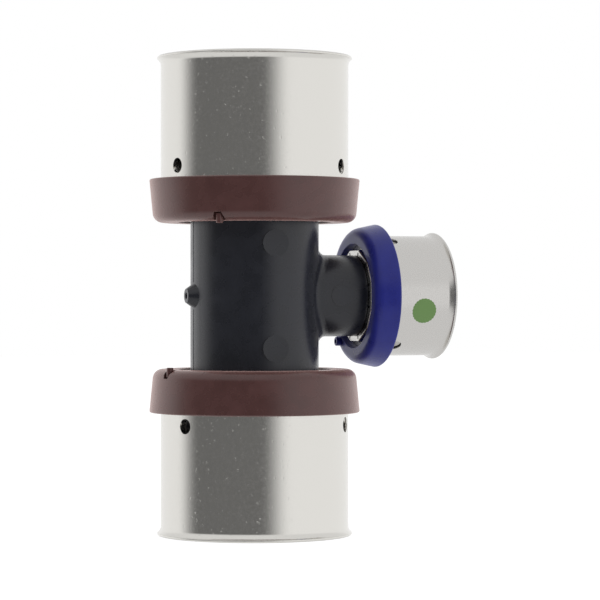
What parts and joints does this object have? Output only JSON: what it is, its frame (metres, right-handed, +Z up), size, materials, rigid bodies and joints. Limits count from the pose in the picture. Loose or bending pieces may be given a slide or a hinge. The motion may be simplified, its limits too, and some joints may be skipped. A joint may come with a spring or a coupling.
{
  "type": "reducing press tee",
  "caption": "Plastic press tee for water tube: ribbed spigots inside flared steel sleeves, held by moulded locator rings, with a smaller side branch.",
  "frame": {"origin": "where the axis of the run crosses the axis of the branch", "axes": "+Z up along the run, +X out of the branch's mouth"},
  "size_m": [0.0588, 0.0414, 0.094],
  "materials": {
    "moulded_body": "black moulded plastic, satin",
    "drawn_sleeve": "drawn stainless steel, bright satin",
    "run_ring": "brown moulded plastic, satin",
    "branch_ring": "blue moulded plastic, satin",
    "size_mark": "green paint"
  },
  "bodies": {
    "root": {"tee_body": "moulded_body", "upper_sleeve": "drawn_sleeve", "lower_sleeve": "drawn_sleeve", "branch_sleeve": "drawn_sleeve", "upper_locator_ring": "run_ring", "lower_locator_ring": "run_ring", "branch_locator_ring": "branch_ring"}
  },
  "joints": []
}
